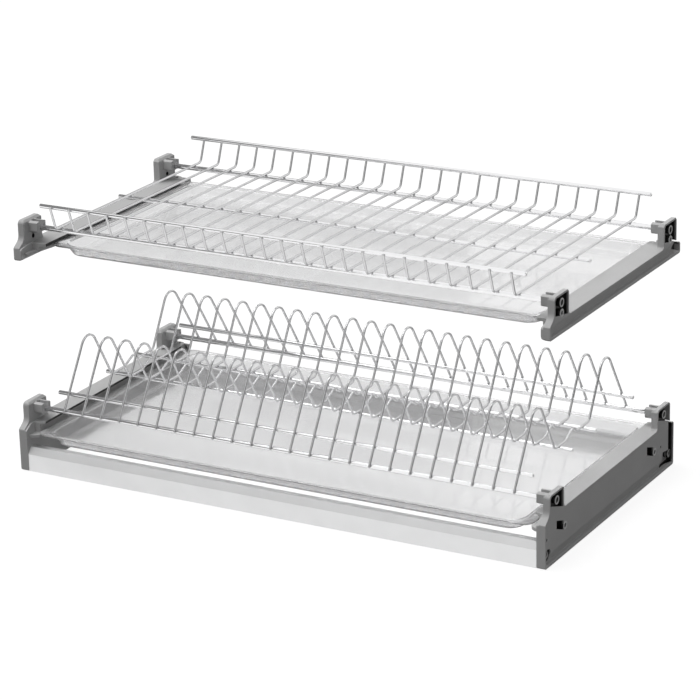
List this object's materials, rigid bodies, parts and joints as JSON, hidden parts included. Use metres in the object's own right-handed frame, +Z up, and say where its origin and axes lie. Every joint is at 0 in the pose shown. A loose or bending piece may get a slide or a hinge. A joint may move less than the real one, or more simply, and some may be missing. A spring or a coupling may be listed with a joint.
{
  "type": "cabinet dish rack",
  "caption": "Two-tier dish rack for a wall cabinet: looped wire plate rack below, flat glass rack above, clear drip trays sliding in moulded side brackets.",
  "frame": {"origin": "midway between the cabinet's two side panels and between the front and rear rods of the plate rack, at the height of the cabinet screws of the lower brackets", "axes": "+Z up, -Y out of the cabinet's open front, +X from the left side panel to the right one"},
  "size_m": [0.564, 0.298, 0.268],
  "materials": {
    "grey_moulding": "fine satin",
    "aluminium": "matt anodised",
    "screw_steel": "zinc plated",
    "clear_plastic": "clear gloss",
    "chrome": "bright chrome plate"
  },
  "bodies": {
    "frame": {"lower_bracket_left": "grey_moulding", "lower_bracket_right": "grey_moulding", "upper_bracket_left": "grey_moulding", "upper_bracket_right": "grey_moulding", "front_profile": "aluminium", "rear_profile": "aluminium", "profile_screws": "screw_steel"},
    "plate_rack": {"plate_front_rod": "chrome", "plate_rear_rod": "chrome", "plate_front_rail": "chrome", "plate_rear_rail": "chrome", "plate_valley_rail": "chrome", "plate_rest_rail": "chrome", "plate_wires": "chrome"},
    "glass_rack": {"glass_front_rod": "chrome", "glass_rear_rod": "chrome", "glass_front_rail": "chrome", "glass_rear_rail": "chrome", "glass_middle_rail": "chrome", "glass_wires": "chrome"},
    "lower_tray_body": {"lower_tray": "clear_plastic"},
    "upper_tray_body": {"upper_tray": "clear_plastic"}
  },
  "joints": [
    {"name": "lower_tray_slide", "type": "slide", "parent": "frame", "child": "lower_tray_body", "axis": [0, -1, 0], "range_m": [0, 0.24]},
    {"name": "upper_tray_slide", "type": "slide", "parent": "frame", "child": "upper_tray_body", "axis": [0, -1, 0], "range_m": [0, 0.21]},
    {"name": "plate_rack_lift", "type": "slide", "parent": "frame", "child": "plate_rack", "axis": [0, 0, 1], "range_m": [0, 0.05]},
    {"name": "glass_rack_lift", "type": "slide", "parent": "frame", "child": "glass_rack", "axis": [0, 0, 1], "range_m": [0, 0.05]}
  ]
}
